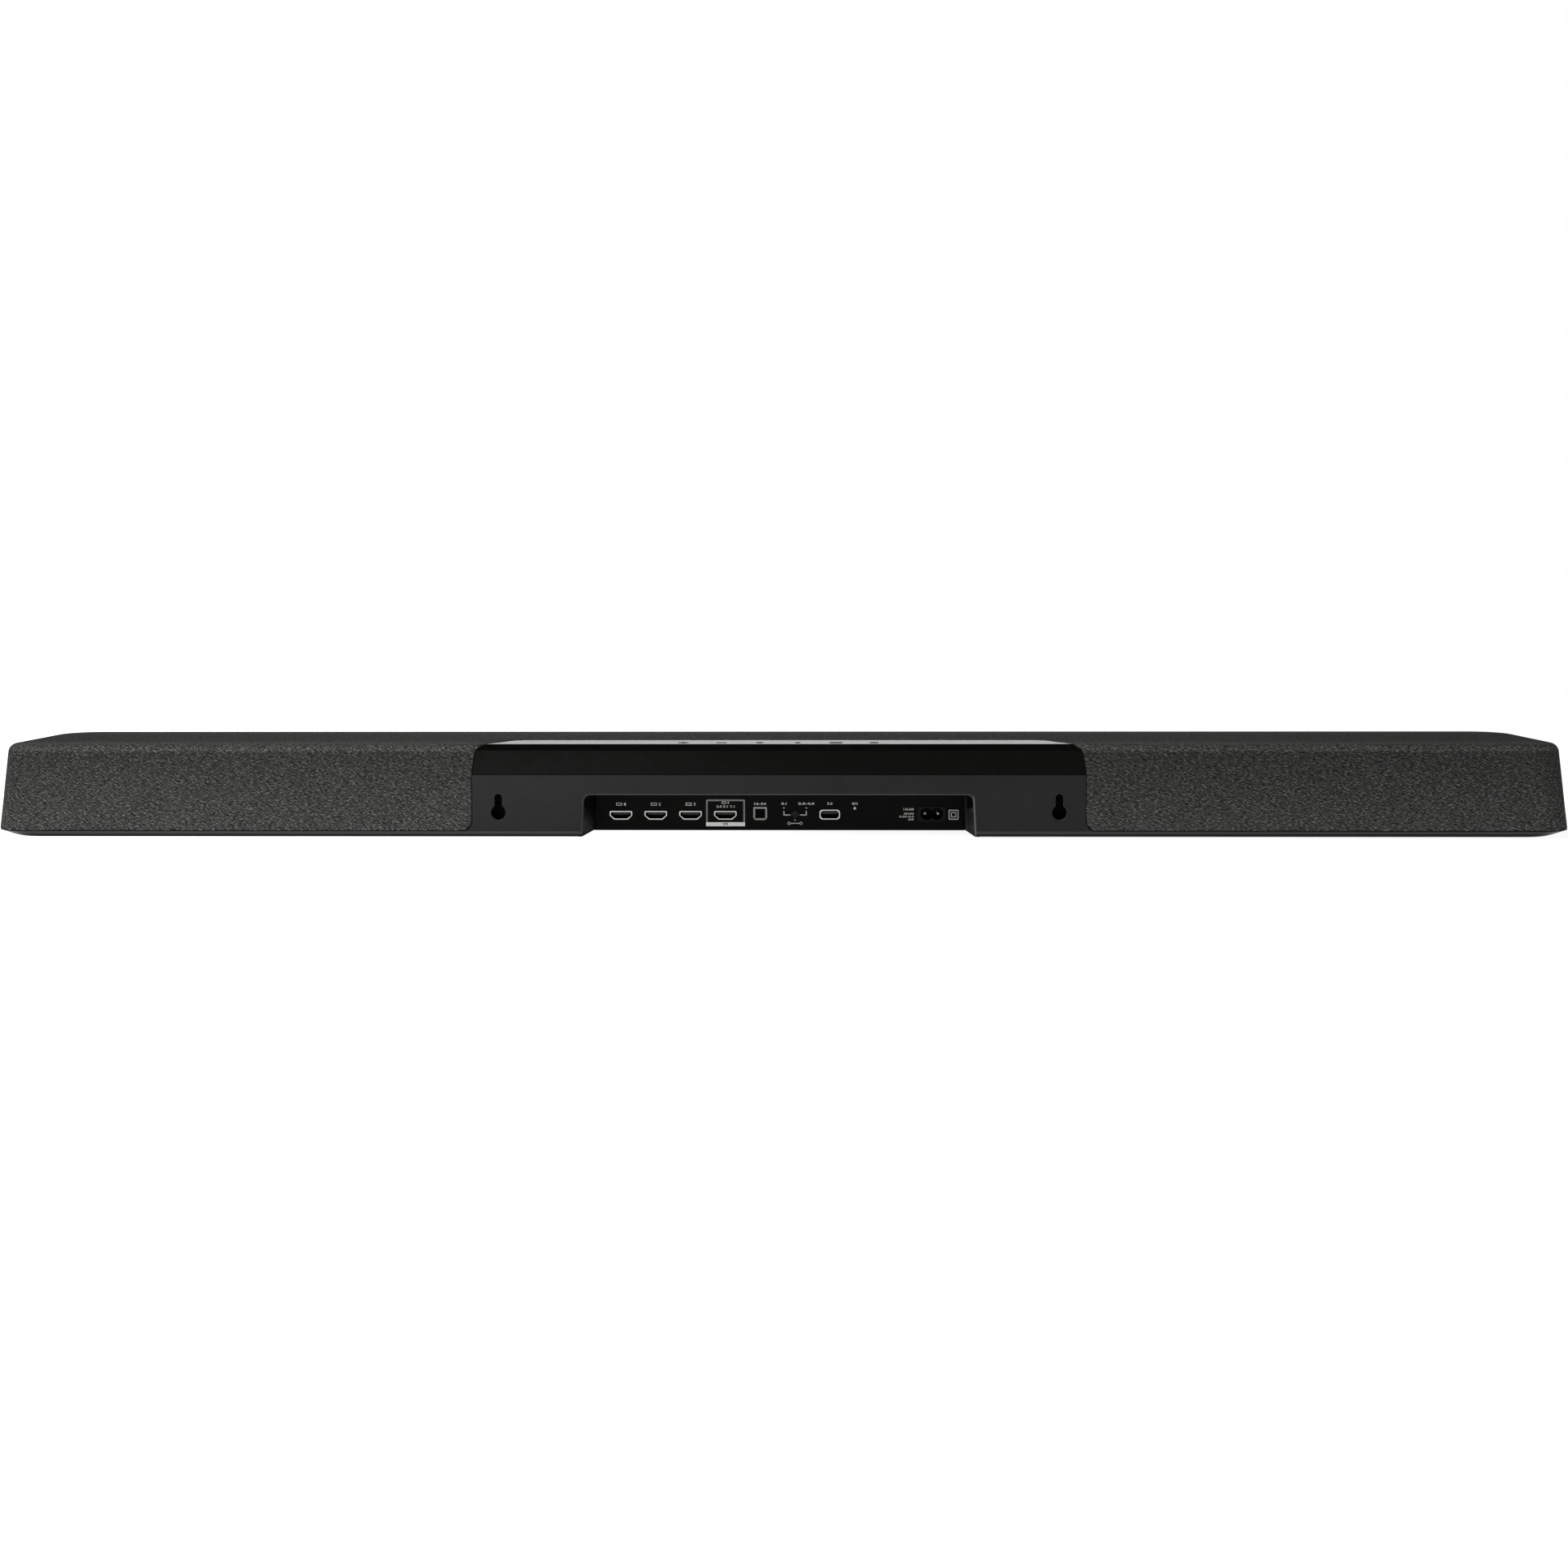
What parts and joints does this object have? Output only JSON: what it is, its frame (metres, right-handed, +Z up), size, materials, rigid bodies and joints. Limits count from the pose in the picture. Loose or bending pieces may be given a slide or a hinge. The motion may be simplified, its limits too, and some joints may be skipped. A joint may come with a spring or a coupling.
{
  "type": "soundbar",
  "caption": "Long low loudspeaker bar for a television, wrapped in cloth, with top keys, a recessed rear connector panel and wall keyholes.",
  "frame": {"origin": "centre of the bounding box at the level that the rubber feet stand on", "axes": "+X along the bar, to the right of someone facing its front; -Y towards the listener, +Y the rear with the connector panel; +Z up"},
  "size_m": [1.004, 0.12, 0.06],
  "materials": {
    "charcoal_cloth": "heathered woven cloth",
    "black_frame_plastic": "matte",
    "grey_cabinet_plastic": "fine grain",
    "black_inner_plastic": "matte",
    "grey_foam": "foam",
    "gloss_black_plastic": "satin gloss",
    "grey_key_plastic": "matte",
    "green_board": "solder resist",
    "black_switch_plastic": "matte",
    "black_panel_plastic": "matte",
    "plated_steel": "nickel plated",
    "black_socket_plastic": "matte",
    "nickel_pins": "nickel plated",
    "black_button_plastic": "matte",
    "clear_light_pipe": "frosted",
    "wound_parts": "wrapped",
    "black_aluminium": "anodised",
    "shield_steel": "tinned",
    "smoked_window": "smoked",
    "motor_steel": "zinc plated",
    "surround_rubber": "matte",
    "tweeter_plastic": "matte",
    "foot_rubber": "matte",
    "zinc_screws": "black zinc",
    "basket_plastic": "matte",
    "basket_steel": "painted",
    "cone_polymer": "matte",
    "dome_cloth": "doped cloth"
  },
  "bodies": {
    "soundbar": {"cabinet_gasket": "grey_foam", "cabinet_screws": "zinc_screws", "control_panel": "gloss_black_plastic", "data_socket": "plated_steel", "data_tongue": "black_socket_plastic", "display_board": "green_board", "display_window": "smoked_window", "fabric_wrap": "charcoal_cloth", "feet": "foot_rubber", "grille_frame": "black_frame_plastic", "heat_sink": "black_aluminium", "io_panel": "black_panel_plastic", "key_board": "green_board", "key_switches": "black_switch_plastic", "lower_cabinet": "grey_cabinet_plastic", "main_board": "green_board", "mains_inlet": "black_socket_plastic", "mains_pins": "nickel_pins", "optical_socket": "black_socket_plastic", "power_board": "green_board", "power_components": "wound_parts", "status_light": "clear_light_pipe", "tweeter_bodies": "tweeter_plastic", "upfiring_basket_left": "basket_steel", "upfiring_basket_right": "basket_steel", "upfiring_surrounds": "surround_rubber", "upper_cabinet": "black_inner_plastic", "video_socket_1": "plated_steel", "video_socket_2": "plated_steel", "video_socket_3": "plated_steel", "video_socket_4": "plated_steel", "video_tongues": "black_socket_plastic", "wireless_module": "shield_steel", "woofer_basket_1": "basket_plastic", "woofer_basket_2": "basket_plastic", "woofer_basket_3": "basket_plastic", "woofer_basket_4": "basket_plastic", "woofer_basket_5": "basket_plastic", "woofer_basket_6": "basket_plastic", "woofer_motors": "motor_steel", "woofer_surrounds": "surround_rubber"},
    "key_power_body": {"key_power": "grey_key_plastic"},
    "key_source_body": {"key_source": "grey_key_plastic"},
    "key_pair_body": {"key_pair": "grey_key_plastic"},
    "key_mode_body": {"key_mode": "grey_key_plastic"},
    "key_volume_down_body": {"key_volume_down": "grey_key_plastic"},
    "key_volume_up_body": {"key_volume_up": "grey_key_plastic"},
    "connect_button_body": {"connect_button": "black_button_plastic"},
    "optical_shutter_body": {"optical_shutter": "black_socket_plastic"},
    "woofer_cone_1_body": {"woofer_cone_1": "cone_polymer"},
    "woofer_cone_2_body": {"woofer_cone_2": "cone_polymer"},
    "woofer_cone_3_body": {"woofer_cone_3": "cone_polymer"},
    "woofer_cone_4_body": {"woofer_cone_4": "cone_polymer"},
    "woofer_cone_5_body": {"woofer_cone_5": "cone_polymer"},
    "woofer_cone_6_body": {"woofer_cone_6": "cone_polymer"},
    "tweeter_dome_1_body": {"tweeter_dome_1": "dome_cloth"},
    "tweeter_dome_2_body": {"tweeter_dome_2": "dome_cloth"},
    "tweeter_dome_3_body": {"tweeter_dome_3": "dome_cloth"},
    "upfiring_cone_left_body": {"upfiring_cone_left": "cone_polymer"},
    "upfiring_cone_right_body": {"upfiring_cone_right": "cone_polymer"}
  },
  "joints": [
    {"name": "power_key_press", "type": "slide", "parent": "soundbar", "child": "key_power_body", "axis": [0, 0, -1], "range_m": [0, 0.0006], "stiffness_N_per_m": 400},
    {"name": "source_key_press", "type": "slide", "parent": "soundbar", "child": "key_source_body", "axis": [0, 0, -1], "range_m": [0, 0.0006], "stiffness_N_per_m": 400},
    {"name": "pair_key_press", "type": "slide", "parent": "soundbar", "child": "key_pair_body", "axis": [0, 0, -1], "range_m": [0, 0.0006], "stiffness_N_per_m": 400},
    {"name": "mode_key_press", "type": "slide", "parent": "soundbar", "child": "key_mode_body", "axis": [0, 0, -1], "range_m": [0, 0.0006], "stiffness_N_per_m": 400},
    {"name": "volume_down_key_press", "type": "slide", "parent": "soundbar", "child": "key_volume_down_body", "axis": [0, 0, -1], "range_m": [0, 0.0006], "stiffness_N_per_m": 400},
    {"name": "volume_up_key_press", "type": "slide", "parent": "soundbar", "child": "key_volume_up_body", "axis": [0, 0, -1], "range_m": [0, 0.0006], "stiffness_N_per_m": 400},
    {"name": "connect_button_press", "type": "slide", "parent": "soundbar", "child": "connect_button_body", "axis": [0, -1, 0], "range_m": [0, 0.0006], "stiffness_N_per_m": 400},
    {"name": "optical_shutter_hinge", "type": "hinge", "parent": "soundbar", "child": "optical_shutter_body", "pos_m": [0.0124, 0.02518, 0.01508], "axis": [-1, 0, 0], "range_deg": [0, 80], "stiffness_Nm_per_rad": 0.0005},
    {"name": "woofer_1_stroke", "type": "slide", "parent": "soundbar", "child": "woofer_cone_1_body", "axis": [0, -1, 0], "range_m": [-0.002, 0.002], "stiffness_N_per_m": 1500},
    {"name": "woofer_2_stroke", "type": "slide", "parent": "soundbar", "child": "woofer_cone_2_body", "axis": [0, -1, 0], "range_m": [-0.002, 0.002], "stiffness_N_per_m": 1500},
    {"name": "woofer_3_stroke", "type": "slide", "parent": "soundbar", "child": "woofer_cone_3_body", "axis": [0, -1, 0], "range_m": [-0.002, 0.002], "stiffness_N_per_m": 1500},
    {"name": "woofer_4_stroke", "type": "slide", "parent": "soundbar", "child": "woofer_cone_4_body", "axis": [0, -1, 0], "range_m": [-0.002, 0.002], "stiffness_N_per_m": 1500},
    {"name": "woofer_5_stroke", "type": "slide", "parent": "soundbar", "child": "woofer_cone_5_body", "axis": [0, -1, 0], "range_m": [-0.002, 0.002], "stiffness_N_per_m": 1500},
    {"name": "woofer_6_stroke", "type": "slide", "parent": "soundbar", "child": "woofer_cone_6_body", "axis": [0, -1, 0], "range_m": [-0.002, 0.002], "stiffness_N_per_m": 1500},
    {"name": "tweeter_1_stroke", "type": "slide", "parent": "soundbar", "child": "tweeter_dome_1_body", "axis": [0, -1, 0], "range_m": [-0.0003, 0.0003], "stiffness_N_per_m": 1000},
    {"name": "tweeter_2_stroke", "type": "slide", "parent": "soundbar", "child": "tweeter_dome_2_body", "axis": [0, -1, 0], "range_m": [-0.0003, 0.0003], "stiffness_N_per_m": 1000},
    {"name": "tweeter_3_stroke", "type": "slide", "parent": "soundbar", "child": "tweeter_dome_3_body", "axis": [0, -1, 0], "range_m": [-0.0003, 0.0003], "stiffness_N_per_m": 1000},
    {"name": "upfiring_left_stroke", "type": "slide", "parent": "soundbar", "child": "upfiring_cone_left_body", "axis": [0, -0.2079, 0.9781], "range_m": [-0.0015, 0.0015], "stiffness_N_per_m": 1500},
    {"name": "upfiring_right_stroke", "type": "slide", "parent": "soundbar", "child": "upfiring_cone_right_body", "axis": [0, -0.2079, 0.9781], "range_m": [-0.0015, 0.0015], "stiffness_N_per_m": 1500}
  ]
}
